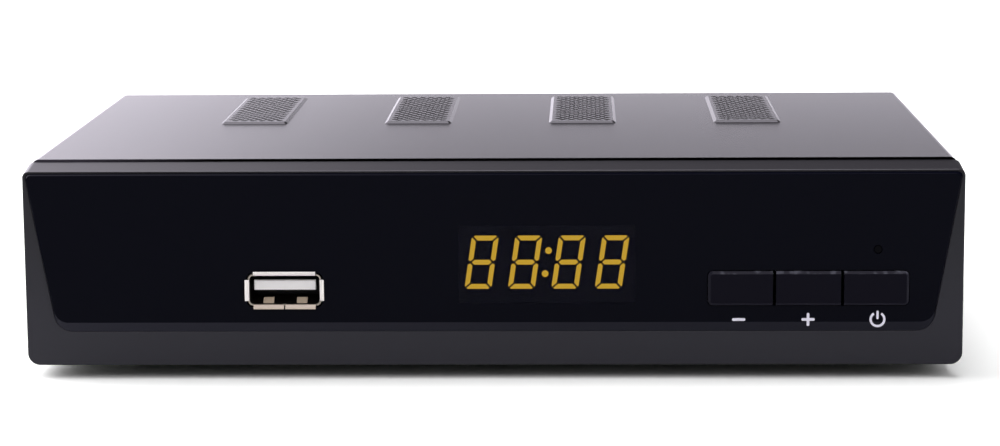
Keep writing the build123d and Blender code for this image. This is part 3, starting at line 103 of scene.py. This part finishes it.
def step(tree, value, low, high):
    """0 where value is at low and 1 where it is at high."""
    ramp = tree.nodes.new("ShaderNodeMapRange")
    ramp.inputs["From Min"].default_value = low
    ramp.inputs["From Max"].default_value = high
    tree.links.new(value, ramp.inputs["Value"])
    return ramp.outputs["Result"]


def facing(tree, axis, low, high):
    """0 where the normal's part along an axis is at low and 1 where it is at high."""
    return step(tree, part_of(tree, "ShaderNodeNewGeometry", "True Normal", axis), low, high)


def both(tree, first, second):
    """The product of two values from 0 to 1."""
    product = tree.nodes.new("ShaderNodeMath")
    product.operation = "MULTIPLY"
    tree.links.new(first, product.inputs[0])
    tree.links.new(second, product.inputs[1])
    return product.outputs[0]


def mix_node(tree, fac, low, high):
    """low where fac is 0 and high where it is 1: display colours, linear RGBA or node outputs."""
    mix = tree.nodes.new("ShaderNodeMix")
    mix.data_type = "RGBA"
    tree.links.new(fac, mix.inputs["Factor"])
    for socket, value in ((mix.inputs[6], low), (mix.inputs[7], high)):
        if not isinstance(value, tuple):
            tree.links.new(value, socket)
        elif len(value) == 3:
            socket.default_value = linear(*value)
        else:
            socket.default_value = value
    return mix.outputs[2]


def paint(material, colour):
    """Links a node output to the base colour."""
    tree = material.node_tree
    tree.links.new(colour, tree.nodes["Principled BSDF"].inputs["Base Color"])
    return material


def link_range(tree, value, at_zero, at_one, socket):
    """Drives a plain number of the shader between two values."""
    spread = tree.nodes.new("ShaderNodeMapRange")
    spread.inputs["To Min"].default_value = at_zero
    spread.inputs["To Max"].default_value = at_one
    tree.links.new(value, spread.inputs["Value"])
    tree.links.new(spread.outputs["Result"], tree.nodes["Principled BSDF"].inputs[socket])


def grain(material, size, height):
    """Fine bumps: size is their spacing and height their depth, in millimetres."""
    tree = material.node_tree
    bump = tree.nodes.new("ShaderNodeBump")
    bump.inputs["Strength"].default_value = 1.0
    bump.inputs["Distance"].default_value = height * MM
    tree.links.new(noise(tree, 1 / (size * MM), detail=2.0), bump.inputs["Height"])
    tree.links.new(bump.outputs["Normal"], tree.nodes["Principled BSDF"].inputs["Normal"])
    return material


def mottle(material, colour_a, colour_b, size, roughness_a, roughness_b):
    """Soft blotches, size millimetres apart, between two colours and two roughnesses."""
    tree = material.node_tree
    blotches = noise(tree, 1 / (size * MM), detail=3.0)
    link_range(tree, blotches, roughness_a, roughness_b, "Roughness")
    return paint(material, two_colours(tree, blotches, 0.35, colour_a, 0.65, colour_b))


def glow(material, colour, strength):
    """Light of its own, in a display colour."""
    shader = material.node_tree.nodes["Principled BSDF"]
    shader.inputs["Emission Color"].default_value = linear(*colour)
    shader.inputs["Emission Strength"].default_value = strength
    return material


# ---------------------------------------------------------------- materials
lens_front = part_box("front_lens")[0][1]
lens_colour = (7, 8, 17)
key_colour = (12, 11, 21)
unlit_black = (6, 6, 9)


def cover_finish():
    """Satin paint; the cut edge behind the bezel carries painted shade, with a painted reflection of light
    towards its left end.
    """
    satin = (18, 17, 20)
    edge_painted_light = (70, 68, 74)
    edge_painted_shade = (4, 4, 4)
    pale_end = -76 * MM
    dark_from = -50 * MM
    made = grain(finish("cover_paint", satin, 0.26), size=0.5, height=0.004)
    tree = made.node_tree
    # Painted light and shade on the cut edge: a reflection of light at the left end, shade to the right.
    rightward = step(tree, coordinate(tree, "X"), pale_end, dark_from)
    cut_edge = facing(tree, "Y", -0.8, -0.95)
    link_range(tree, cut_edge, 0.5, 0.0, "Specular IOR Level")
    return paint(made, mix_node(tree, cut_edge, satin, mix_node(tree, rightward, edge_painted_light, edge_painted_shade)))


def lens_finish():
    """Gloss black, see-through at the display, where its colour is painted lighter to make up for lost
    light; its rolled lower edge carries a painted reflection, lighter at the left.
    """
    roll_reflection_left = (47, 48, 54)
    roll_reflection_right = (36, 37, 43)
    window_alpha = 0.7
    lost_shine = 0.0025
    window_edge = 0.1 * MM
    gloss = linear(*lens_colour)
    made = finish("lens_plastic", lens_colour, 0.04, specular=0.02)
    tree = made.node_tree
    across = coordinate(tree, "X")
    height = coordinate(tree, "Z")
    low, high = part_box("display_body")
    wide_from = step(tree, across, low[0], low[0] + window_edge)
    wide_to = step(tree, across, high[0], high[0] - window_edge)
    tall_from = step(tree, height, low[2], low[2] + window_edge)
    tall_to = step(tree, height, high[2], high[2] - window_edge)
    window = both(tree, both(tree, wide_from, wide_to), both(tree, tall_from, tall_to))
    link_range(tree, window, 1.0, window_alpha, "Alpha")
    # The window lets the dark display through, so its own colour is painted lighter to make up for the
    # light that this loses.
    red, green, blue = ((channel + lost_shine) / window_alpha for channel in gloss[:3])
    plain = mix_node(tree, window, gloss, (red, green, blue, 1.0))
    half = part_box("front_lens")[1][0]
    # Painted reflection on the rolled lower edge, lighter at the left than at the right.
    roll = mix_node(tree, step(tree, across, -half, half), roll_reflection_left, roll_reflection_right)
    looks_down = facing(tree, "Z", -0.1, -0.3)
    return paint(made, mix_node(tree, looks_down, plain, roll))


def key_finish():
    """Gloss caps whose chamfers are painted lighter as a highlight; the upper chamfer carries painted
    highlights in patches.
    """
    rim_highlight = (36, 36, 43)
    upper_highlight_dull = (33, 33, 40)
    upper_highlight_bright = (78, 80, 86)
    patches_per_metre = 620.0
    made = finish("key_plastic", key_colour, 0.2, specular=0.03)
    tree = made.node_tree
    # Painted highlights: the chamfers lighter, the upper one in bright patches.
    highlight_patches = step(tree, noise(tree, patches_per_metre, detail=1.0), 0.5, 0.66)
    looks_up = facing(tree, "Z", 0.3, 0.6)
    looks_ahead = facing(tree, "Y", -0.8, -0.95)
    rim_painted_highlight = mix_node(tree, looks_up, rim_highlight, mix_node(tree, highlight_patches, upper_highlight_dull, upper_highlight_bright))
    return paint(made, mix_node(tree, looks_ahead, rim_painted_highlight, key_colour))


def usb_finish():
    """Bright nickel lips, duller below; painted shade inside, with painted light on front edges and the
    fingers' slopes.
    """
    lip = (254, 252, 240)
    lower_lip = (206, 194, 172)
    front_edge_light = (150, 144, 128)
    tube_shade = (18, 16, 12)
    finger_slope_light = (206, 190, 160)
    lips_end = lens_front - 0.3 * MM
    dark_from = lens_front - 0.12 * MM
    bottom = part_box("usb_shell")[0][2]
    lower_lip_top = bottom + 0.9 * MM
    side_lip_foot = bottom + 1.2 * MM
    made = finish("usb_nickel", lip, 0.35, metallic=0.1)
    tree = made.node_tree
    # Painted shade inside the socket, with painted light on front faces and on the fingers' upward slopes.
    inside = step(tree, coordinate(tree, "Y"), lips_end, dark_from)
    below = step(tree, coordinate(tree, "Z"), side_lip_foot, lower_lip_top)
    slope = both(tree, facing(tree, "Y", -0.4, -0.6), facing(tree, "Z", 0.4, 0.6))
    looks_ahead = facing(tree, "Y", -0.9, -0.98)
    inside_painted_shade = mix_node(tree, looks_ahead, mix_node(tree, slope, tube_shade, finger_slope_light), front_edge_light)
    lips = mix_node(tree, below, lip, lower_lip)
    return paint(made, mix_node(tree, inside, lips, inside_painted_shade))


def tongue_finish():
    """White plastic that falls into the socket's shadow behind its front end."""
    white = (253, 255, 244)
    shadow = (34, 32, 28)
    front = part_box("usb_tongue")[0][1]
    white_end = front + 0.2 * MM
    shadow_from = front + 1.0 * MM
    made = finish("tongue_white", white, 0.5, specular=0.4)
    tree = made.node_tree
    shade = step(tree, coordinate(tree, "Y"), white_end, shadow_from)
    return paint(made, mix_node(tree, shade, white, shadow))


def bezel_finish():
    """Fine-grained moulding with painted shade, darker upwards and to the right, with a dark bevel and a
    strip of painted shade over the lens.
    """
    low_left = (36, 36, 42)
    low_right = (31, 31, 38)
    high_left = (25, 25, 30)
    high_right = (19, 20, 26)
    darkest = (13, 12, 16)
    low_end = 12 * MM
    high_from = 28 * MM
    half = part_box("front_bezel")[1][0]
    lens_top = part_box("front_lens")[1][2]
    face_end = lens_top - 0.3 * MM
    strip_from = lens_top - 0.1 * MM
    made = grain(finish("bezel_plastic", (34, 34, 40), 0.45), size=0.35, height=0.004)
    tree = made.node_tree
    height = coordinate(tree, "Z")
    # Painted shade: the face darker upwards and to the right.
    rightward = step(tree, coordinate(tree, "X"), -half, half)
    low = mix_node(tree, rightward, low_left, low_right)
    high = mix_node(tree, rightward, high_left, high_right)
    face = mix_node(tree, step(tree, height, low_end, high_from), low, high)
    # Painted shade along the strip just over the lens.
    face = mix_node(tree, step(tree, height, face_end, strip_from), face, darkest)
    bevel = facing(tree, "Z", 0.6, 0.85)
    link_range(tree, bevel, 0.25, 0.7, "Specular IOR Level")
    link_range(tree, bevel, 0.5, 0.3, "Roughness")
    return paint(made, mix_node(tree, bevel, face, darkest))


def board_finish():
    """Green solder mask with faint lighter tracks."""
    track = (46, 110, 66)
    mask = (20, 66, 40)
    cells_per_metre = 260.0
    made = finish("board_laminate", (24, 72, 44), 0.35)
    tree = made.node_tree
    where = tree.nodes.new("ShaderNodeTexCoord")
    cells = tree.nodes.new("ShaderNodeTexVoronoi")
    cells.feature = "DISTANCE_TO_EDGE"
    cells.distance = "MANHATTAN"
    cells.inputs["Scale"].default_value = cells_per_metre
    tree.links.new(where.outputs["Object"], cells.inputs["Vector"])
    return paint(made, two_colours(tree, cells.outputs["Distance"], 0.04, track, 0.07, mask))


cover_paint = cover_finish()
chassis_paint = grain(finish("chassis_paint", (20, 20, 21), 0.45), size=0.5, height=0.006)
bezel_plastic = bezel_finish()
lens_plastic = lens_finish()
mask_ink = finish("mask_ink", unlit_black, 0.8, specular=0.0)
mark_ink = finish("mark_ink", (240, 242, 246), 0.6)
key_plastic = key_finish()
usb_nickel = usb_finish()
tongue_white = tongue_finish()
display_black = finish("display_black", unlit_black, 0.8, specular=0.0)
nickel = mottle(
    finish("nickel", (214, 210, 204), 0.2, metallic=1.0),
    (206, 202, 196), (222, 219, 213), size=2.5, roughness_a=0.16, roughness_b=0.28,
)
tin_plate = mottle(
    finish("tin_plate", (190, 192, 194), 0.35, metallic=1.0),
    (178, 180, 183), (202, 203, 205), size=6.0, roughness_a=0.3, roughness_b=0.45,
)
gold_plate = finish("gold_plate", (226, 186, 98), 0.25, metallic=1.0)
socket_white = finish("socket_white", (238, 237, 230), 0.4)
socket_black = finish("socket_black", (22, 22, 23), 0.4)
socket_red = finish("socket_red", (176, 22, 22), 0.35)
socket_yellow = finish("socket_yellow", (232, 190, 26), 0.35)
board_laminate = board_finish()
chip_moulding = grain(finish("chip_moulding", (26, 26, 27), 0.55), size=0.2, height=0.004)
fin_aluminium = finish("fin_aluminium", (200, 201, 204), 0.35, metallic=1.0)
can_sleeve = finish("can_sleeve", (18, 18, 24), 0.2)
screw_black = finish("screw_black", (24, 24, 25), 0.35)
foot_rubber = grain(finish("foot_rubber", (24, 24, 24), 0.85), size=0.6, height=0.02)
segment_amber = glow(finish("segment_amber", (60, 50, 14), 0.5), (190, 152, 44), strength=10.6)
lamp_resin = finish("lamp_resin", (120, 30, 26), 0.15, alpha=0.7)
pipe_resin = finish("pipe_resin", unlit_black, 0.3, specular=0.02)
pad_rubber = finish("pad_rubber", (140, 152, 172), 0.7)
film_plastic = finish("film_plastic", (26, 26, 26), 0.3)

dress = {
    "top_cover": cover_paint,
    "base_chassis": chassis_paint,
    "front_bezel": bezel_plastic,
    "front_lens": lens_plastic,
    "lens_mask": mask_ink,
    "front_marks": mark_ink,
    "button_minus": key_plastic,
    "button_plus": key_plastic,
    "button_power": key_plastic,
    "plunger_minus": socket_black,
    "plunger_plus": socket_black,
    "plunger_power": socket_black,
    "switch_bodies": chip_moulding,
    "display_body": display_black,
    "display_segments": segment_amber,
    "light_pipe": pipe_resin,
    "standby_lamp": lamp_resin,
    "ir_receiver": display_black,
    "usb_shell": usb_nickel,
    "usb_tongue": tongue_white,
    "usb_contacts": gold_plate,
    "front_board": board_laminate,
    "front_board_screws": tin_plate,
    "board_link": socket_black,
    "main_board": board_laminate,
    "board_screws": tin_plate,
    "insulating_sheet": film_plastic,
    "main_chip": chip_moulding,
    "thermal_pad": pad_rubber,
    "heat_sink": fin_aluminium,
    "memory_chips": chip_moulding,
    "flash_chip": chip_moulding,
    "regulators": chip_moulding,
    "lan_magnetics": chip_moulding,
    "inductors": chip_moulding,
    "capacitors": can_sleeve,
    "crystal": tin_plate,
    "tuner_can": tin_plate,
    "tuner_lid": tin_plate,
    "lnb_shell": nickel,
    "lnb_insulator": socket_white,
    "lnb_contact": gold_plate,
    "lnb_washer": tin_plate,
    "lnb_nut": nickel,
    "hdmi_shell": nickel,
    "hdmi_tongue": socket_black,
    "hdmi_contacts": gold_plate,
    "lan_shell": tin_plate,
    "lan_insert": socket_black,
    "lan_contacts": gold_plate,
    "av_block": socket_black,
    "av_insert_red": socket_red,
    "av_insert_white": socket_white,
    "av_insert_yellow": socket_yellow,
    "av_shells": nickel,
    "av_contacts": tin_plate,
    "dc_jack": socket_black,
    "dc_pin": nickel,
    "cover_screws": screw_black,
    "feet": foot_rubber,
}
for node, material in dress.items():
    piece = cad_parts[node]
    for slot in piece.material_slots:
        slot.material = material


# ---------------------------------------------------------------- aerial socket
def lathe(name, rings, around):
    """A closed tube of rings; a ring is a function of the turn that gives (radius, distance along Y)."""
    crease = math.radians(25)
    points = []
    for ring in rings:
        for index in range(around):
            turn = 2 * math.pi * index / around
            radius, along = ring(turn)
            points.append((radius * math.cos(turn), along, radius * math.sin(turn)))
    faces = []
    for row in range(len(rings)):
        here = row * around
        there = (row + 1) % len(rings) * around
        for index in range(around):
            after = (index + 1) % around
            faces.append((here + index, there + index, there + after, here + after))
    mesh = bpy.data.meshes.new(name)
    mesh.from_pydata(points, [], faces)
    mesh.shade_smooth()
    mesh.set_sharp_from_angle(angle=crease)
    piece = bpy.data.objects.new(name, mesh)
    bpy.context.collection.objects.link(piece)
    return piece


def make_lnb_thread():
    """The threaded barrel, in place of the plain one."""
    pitch = 0.794 * MM
    thread_depth = 0.42 * MM
    crest = 4.7625 * MM
    barrel = crest - 0.16 * MM
    chamfer = 0.4 * MM
    bore_gap = 0.05 * MM
    neck = 2.0 * MM
    rear_sheet = 0.8 * MM
    steepness = 1.6
    crest_width = 0.2
    rings_per_turn = 10
    around = 96
    (left, front, bottom), (right, tip, top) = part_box("lnb_shell")
    middle_x = (left + right) / 2
    middle_z = (bottom + top) / 2
    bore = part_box("lnb_insulator")[1][0] - middle_x + bore_gap
    flange = right - middle_x
    flange_front = front + neck
    flange_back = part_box("lnb_washer")[0][1] - rear_sheet
    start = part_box("lnb_nut")[1][1]
    end = tip - chamfer

    def plain(radius, along):
        """A round ring."""
        return lambda turn: (radius, along)

    def cut(along):
        """A ring across the thread, whose groove moves round with the turn."""
        def ring(turn):
            phase = ((along - start) / pitch - turn / (2 * math.pi)) % 1.0
            groove = min(1.0, max(0.0, steepness * (1.0 - abs(2 * phase - 1)) - crest_width))
            run_out = min(1.0, (along - start) / pitch, (end - along) / pitch + 0.5)
            return (crest - thread_depth * groove * run_out, along)
        return ring

    count = int((end - start) / pitch * rings_per_turn)
    rings = [plain(bore, front), plain(barrel, front), plain(barrel, flange_front)]
    rings += [plain(flange, flange_front), plain(flange, flange_back), plain(barrel, flange_back)]
    rings += [plain(barrel, start), plain(crest, start)]
    rings += [cut(start + (end - start) * (index + 1) / count) for index in range(count)]
    rings += [plain(crest - chamfer, tip), plain(bore, tip)]
    piece = lathe("lnb_thread", rings, around)
    piece.location = (middle_x, 0, middle_z)
    piece.data.materials.append(nickel)
    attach(piece, "receiver")
    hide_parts("lnb_shell")


make_lnb_thread()


# ---------------------------------------------------------------- studio
# The lamp and the sky are a little violet, as the light on the photographed cover is.
light_tint = (0.995, 0.945, 1.06)

# Soft round patches of sky. Azimuth from the rear towards +X and elevation above the floor, then
# how far from its middle a patch is full and where it ends, all in degrees, and its strength.
sky_patches = {
    "all round": (0, 90, 178.0, 180.0, 0.06),
    "horizon behind": (0, 5, 10.0, 50.0, 0.31),
    "low at the rear left": (-33, 8, 8.0, 31.0, 1.9),
    "high at the left": (-58, 42, 12.0, 40.0, 5.0),
    "overhead": (0, 87, 8.0, 22.0, 5.8),
    "high in front": (165, 58, 12.0, 38.0, 1.1),
    "low in front": (178, 30, 8.0, 30.0, 0.8),
    "at the right": (110, 35, 10.0, 32.0, 1.3),
}


def seen_directly(tree):
    """1 for rays from the camera and for mirror and glass rays, 0 for soft light."""
    path = tree.nodes.new("ShaderNodeLightPath")
    total = path.outputs["Is Camera Ray"]
    for name in ("Is Glossy Ray", "Is Transmission Ray"):
        add = tree.nodes.new("ShaderNodeMath")
        add.operation = "MAXIMUM"
        tree.links.new(total, add.inputs[0])
        tree.links.new(path.outputs[name], add.inputs[1])
        total = add.outputs[0]
    return total


def make_floor():
    """A floor that is seen as white, and sends back less of the soft light that falls on it."""
    white = 1.05
    soft_light = (0.6, 0.6, 0.6, 1.0)
    side = 8.0
    middle = (0, 1.0, 0)
    bpy.ops.mesh.primitive_plane_add(size=side, location=middle)
    floor = bpy.context.object
    floor.name = "floor"
    made = finish("floor_white", (240, 240, 240), 0.9, specular=0.0)
    tree = made.node_tree
    # The light's tint is divided out, so that the floor shows as a neutral white.
    seen = (white / light_tint[0], white / light_tint[1], white / light_tint[2], 1.0)
    paint(made, mix_node(tree, seen_directly(tree), soft_light, seen))
    floor.data.materials.append(made)


def direction(azimuth, elevation):
    """Unit vector: azimuth in degrees from the rear, towards +X, and elevation above the floor."""
    turn = math.radians(azimuth)
    lift = math.radians(elevation)
    return Vector((math.sin(turn) * math.cos(lift), math.cos(turn) * math.cos(lift), math.sin(lift)))


def sky_patch(tree, where, azimuth, elevation, inner, outer, strength):
    """A soft round patch of sky: full within inner degrees of its middle, nothing beyond outer."""
    near = tree.nodes.new("ShaderNodeVectorMath")
    near.operation = "DOT_PRODUCT"
    tree.links.new(where, near.inputs[0])
    near.inputs[1].default_value = direction(azimuth, elevation)
    fade = tree.nodes.new("ShaderNodeMapRange")
    fade.interpolation_type = "SMOOTHSTEP"
    fade.inputs["From Min"].default_value = math.cos(math.radians(outer))
    fade.inputs["From Max"].default_value = math.cos(math.radians(inner))
    fade.inputs["To Min"].default_value = 0.0
    fade.inputs["To Max"].default_value = strength
    tree.links.new(near.outputs["Value"], fade.inputs["Value"])
    return fade.outputs["Result"]


def make_world():
    """The camera sees white; what lights the part is the patches of sky."""
    seen_strength = 1.0
    world = bpy.data.worlds.new("studio")
    bpy.context.scene.world = world
    world.use_nodes = True
    tree = world.node_tree
    background = tree.nodes["Background"]
    where = tree.nodes.new("ShaderNodeTexCoord").outputs["Generated"]
    total = None
    for patch in sky_patches.values():
        level = sky_patch(tree, where, *patch)
        if total is not None:
            add = tree.nodes.new("ShaderNodeMath")
            tree.links.new(total, add.inputs[0])
            tree.links.new(level, add.inputs[1])
            level = add.outputs[0]
        total = level
    seen = tree.nodes.new("ShaderNodeLightPath").outputs["Is Camera Ray"]
    strength = tree.nodes.new("ShaderNodeMix")
    strength.data_type = "FLOAT"
    tree.links.new(seen, strength.inputs["Factor"])
    tree.links.new(total, strength.inputs[2])
    strength.inputs[3].default_value = seen_strength
    colour = mix_node(tree, seen, (*light_tint, 1.0), (255, 255, 255))
    tree.links.new(colour, background.inputs["Color"])
    tree.links.new(strength.outputs[0], background.inputs["Strength"])


def softbox(name, place, aim, size, power):
    """A soft light that the camera doesn't see."""
    light = bpy.data.lights.new(name, "AREA")
    light.shape = "RECTANGLE"
    light.size, light.size_y = size
    light.energy = power
    light.color = light_tint
    lamp = bpy.data.objects.new(name, light)
    bpy.context.collection.objects.link(lamp)
    lamp.location = place
    lamp.rotation_euler = (Vector(aim) - Vector(place)).to_track_quat("-Z", "Y").to_euler()
    lamp.visible_camera = False


def make_camera():
    """The photograph's camera, fitted to the front panel and the cover."""
    place_mm = Vector((16.72, -553.0, 109.35))
    yaw = math.radians(1.76)
    pitch = math.radians(9.27)
    roll = math.radians(-0.425)
    focal_px = 2824.0
    image_width_px = 1000
    data = bpy.data.cameras.new("camera")
    data.sensor_width = 36.0
    data.lens = focal_px * data.sensor_width / image_width_px
    data.clip_start = 10 * MM
    camera = bpy.data.objects.new("camera", data)
    bpy.context.collection.objects.link(camera)
    forward = Vector(
        (-math.sin(yaw) * math.cos(pitch), math.cos(yaw) * math.cos(pitch), -math.sin(pitch))
    )
    level = Vector((math.cos(yaw), math.sin(yaw), 0))
    upright = level.cross(forward)
    right = math.cos(roll) * level + math.sin(roll) * upright
    up = -math.sin(roll) * level + math.cos(roll) * upright
    turn = Matrix((right, up, -forward)).transposed().to_4x4()
    camera.matrix_world = Matrix.Translation(place_mm * MM) @ turn
    bpy.context.scene.camera = camera


make_floor()
make_world()
softbox("rear_card", (-0.05, 0.3, 0.045), aim=(-0.05, 0, 0.045), size=(0.9, 0.06), power=0.24)
make_camera()
bpy.context.scene.view_settings.view_transform = "Standard"
